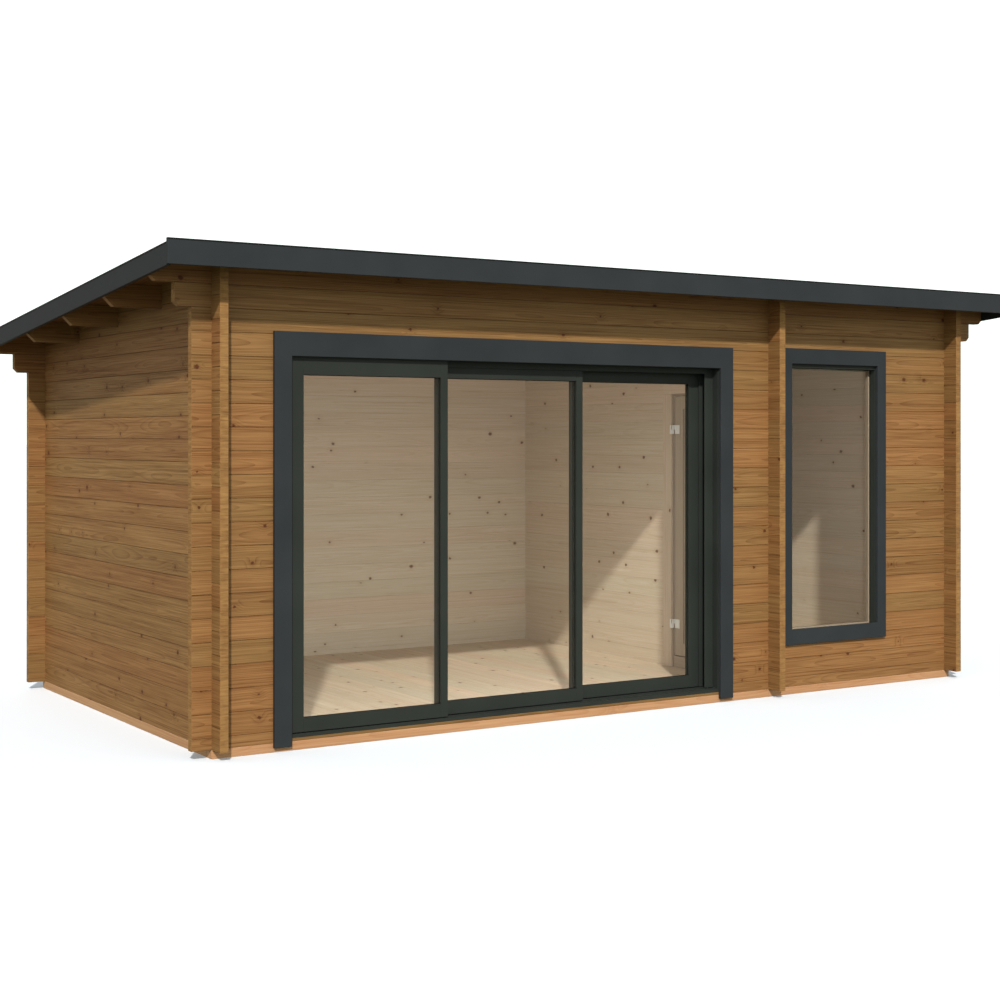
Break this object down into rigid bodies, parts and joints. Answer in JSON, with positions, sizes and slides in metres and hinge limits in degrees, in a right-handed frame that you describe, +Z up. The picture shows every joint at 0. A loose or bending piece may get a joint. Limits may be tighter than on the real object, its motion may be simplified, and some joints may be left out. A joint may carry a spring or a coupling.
{
  "type": "garden sauna house",
  "caption": "Pent-roofed log garden sauna house with two rooms, sliding glass door leaves, a fixed window and an inner door.",
  "frame": {"origin": "on the ground under the middle of the roof", "axes": "+X along the long front to the right, +Y from front to back, +Z up; the front faces -Y"},
  "size_m": [5.65, 3.11, 2.4185],
  "materials": {
    "log_wood": "oiled spruce logs, brown outside and pale inside",
    "base_timber": "raw pinkish planed timber",
    "floor_boards": "raw planed spruce boards",
    "roof_boards": "oiled tongued boards",
    "roof_covering": "mineral felt",
    "dark_paint": "anthracite painted board",
    "dark_frame": "anthracite powder coat",
    "glass": "clear",
    "inner_joinery": "raw planed spruce",
    "white_metal": "white lacquer"
  },
  "bodies": {
    "house": {"base_long_beams": "base_timber", "base_cross_beams": "base_timber", "floor_joists": "base_timber", "floor_main_room": "floor_boards", "floor_small_room": "floor_boards", "door_threshold": "log_wood", "front_wall_left": "log_wood", "front_wall_middle": "log_wood", "front_wall_under_window": "log_wood", "front_wall_right": "log_wood", "front_wall_top": "log_wood", "left_wall": "log_wood", "right_wall": "log_wood", "back_wall": "log_wood", "partition_front": "log_wood", "partition_back": "log_wood", "partition_over_door": "log_wood", "partition_under_door": "log_wood", "purlin_front": "log_wood", "purlin_middle": "log_wood", "purlin_back": "log_wood", "roof_boards": "roof_boards", "roof_covering": "roof_covering", "fascia_front": "dark_paint", "fascia_back": "dark_paint", "fascia_sides": "dark_paint", "sliding_head": "dark_frame", "sliding_sill": "dark_frame", "sliding_jamb_left": "dark_frame", "sliding_jamb_right": "dark_frame", "sliding_casing": "dark_paint", "window_frame": "dark_frame", "window_glass": "glass", "window_casing": "dark_paint", "inner_frame": "inner_joinery", "inner_casing": "inner_joinery", "inner_hinge_frame": "white_metal"},
    "door_leaf_left": {"leaf_left": "dark_frame", "glass_left": "glass"},
    "door_leaf_middle": {"leaf_middle": "dark_frame", "glass_middle": "glass"},
    "door_leaf_right": {"leaf_right": "dark_frame", "glass_right": "glass"},
    "inner_door": {"inner_leaf": "inner_joinery", "inner_hinge_leaf": "white_metal"}
  },
  "joints": [
    {"name": "left_leaf_slide", "type": "slide", "parent": "house", "child": "door_leaf_left", "axis": [1, 0, 0], "range_m": [0, 1.775]},
    {"name": "middle_leaf_slide", "type": "slide", "parent": "house", "child": "door_leaf_middle", "axis": [1, 0, 0], "range_m": [-0.8875, 0.8875]},
    {"name": "right_leaf_slide", "type": "slide", "parent": "house", "child": "door_leaf_right", "axis": [1, 0, 0], "range_m": [-1.775, 0]},
    {"name": "inner_door_swing", "type": "hinge", "parent": "house", "child": "inner_door", "pos_m": [0.97, -0.396, 0.9], "axis": [0, 0, -1], "range_deg": [0, 92]}
  ]
}
